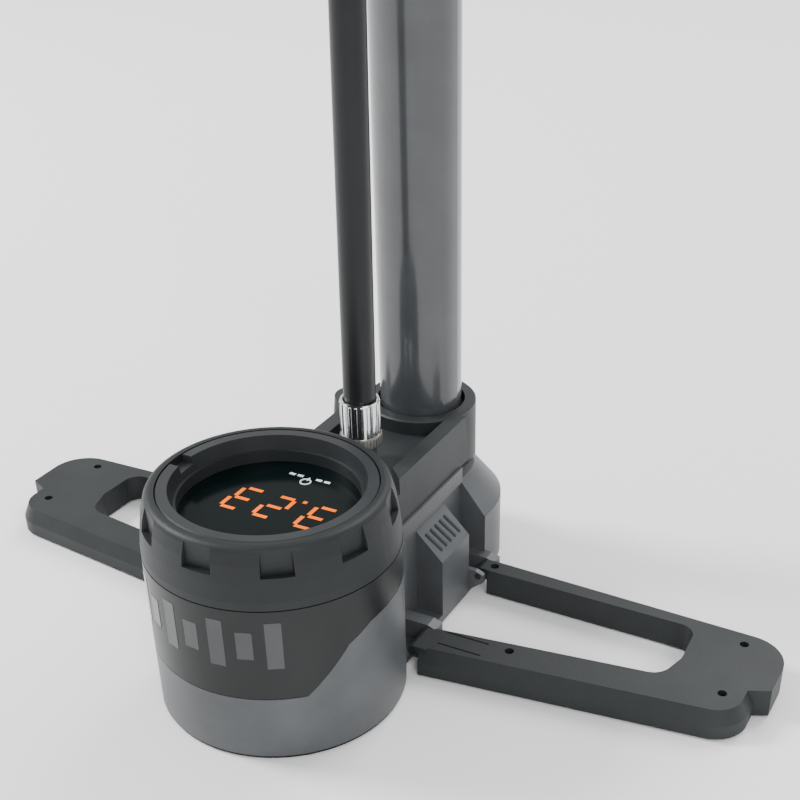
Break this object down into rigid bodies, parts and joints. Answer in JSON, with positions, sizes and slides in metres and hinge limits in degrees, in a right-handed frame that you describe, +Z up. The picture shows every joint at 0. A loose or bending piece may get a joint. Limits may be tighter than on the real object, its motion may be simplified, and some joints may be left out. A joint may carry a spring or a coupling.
{
  "type": "floor bike pump",
  "caption": "Upright floor pump with folding feet, turning gauge ring, digital pressure display, sliding handle and a hose with a lever head.",
  "frame": {"origin": "on the floor under the axis of the barrel", "axes": "+Z up along the barrel, gauge towards -Y, folding feet along +X and -X"},
  "size_m": [0.3068, 0.1687, 0.661],
  "materials": {
    "shell_plastic": "satin",
    "cover_plastic": "matte",
    "ring_plastic": "matte",
    "band_gloss": "gloss",
    "bezel_plastic": "satin",
    "display_glass": "gloss",
    "inner_plastic": "matte",
    "board": "satin",
    "black_rubber": "matte",
    "hose_rubber": "satin",
    "foot_plastic": "satin",
    "barrel_paint": "gloss",
    "chrome_metal": "polished",
    "dull_metal": "dull",
    "steel": "brushed",
    "brass_metal": "machined",
    "head_plastic": "satin",
    "grip_rubber": "matte"
  },
  "bodies": {
    "base": {"base_shell": "shell_plastic", "base_sole": "black_rubber", "base_plate": "inner_plastic", "battery_door": "inner_plastic", "base_screws": "steel", "top_cover": "cover_plastic", "gauge_band": "band_gloss", "gauge_tray": "inner_plastic", "inner_bezel": "bezel_plastic", "lens_ring": "bezel_plastic", "display_lens": "display_glass", "lens_gasket": "black_rubber", "lcd_module": "display_glass", "gauge_board": "board", "battery_holder": "inner_plastic", "battery": "steel", "pressure_sensor": "steel", "sensor_tube": "black_rubber", "air_manifold": "inner_plastic", "outlet_fitting": "brass_metal", "hose_nut": "dull_metal", "hose_ferrule": "chrome_metal", "barrel": "barrel_paint", "barrel_plug": "inner_plastic", "plug_seal": "black_rubber", "check_valve": "black_rubber", "top_cap": "cover_plastic", "rod_bush": "inner_plastic", "hose_guide": "cover_plastic", "head_clip": "cover_plastic", "head_body": "head_plastic", "head_nut": "head_plastic", "head_seal": "black_rubber", "head_pin": "steel", "head_ferrule": "chrome_metal", "hose": "hose_rubber", "hinge_pins": "steel"},
    "handle": {"piston_rod": "chrome_metal", "piston": "inner_plastic", "piston_cup": "black_rubber", "piston_nut": "steel", "bumper": "black_rubber", "handle_core": "cover_plastic", "handle_screw": "steel", "grip_right": "grip_rubber", "grip_left": "grip_rubber", "grip_caps": "cover_plastic"},
    "gauge_ring": {"gauge_ring": "ring_plastic"},
    "foot_right": {"foot_right": "foot_plastic", "pad_right": "black_rubber"},
    "foot_left": {"foot_left": "foot_plastic", "pad_left": "black_rubber"},
    "head_lever": {"head_lever": "head_plastic"}
  },
  "joints": [
    {"name": "handle_slide", "type": "slide", "parent": "base", "child": "handle", "axis": [0, 0, 1], "range_m": [0, 0.44]},
    {"name": "gauge_ring_turn", "type": "hinge", "parent": "base", "child": "gauge_ring", "pos_m": [0, -0.1015, 0.065], "axis": [0, 0, 1], "continuous": true},
    {"name": "foot_right_fold", "type": "hinge", "parent": "base", "child": "foot_right", "pos_m": [0.0372, -0.05, 0.0088], "axis": [0, -1, 0], "range_deg": [0, 90]},
    {"name": "foot_left_fold", "type": "hinge", "parent": "base", "child": "foot_left", "pos_m": [-0.0372, -0.05, 0.0088], "axis": [0, 1, 0], "range_deg": [0, 90]},
    {"name": "head_lever_turn", "type": "hinge", "parent": "base", "child": "head_lever", "pos_m": [0.039, 0.0165, 0.341], "axis": [1, 0, 0], "range_deg": [0, 90]}
  ]
}
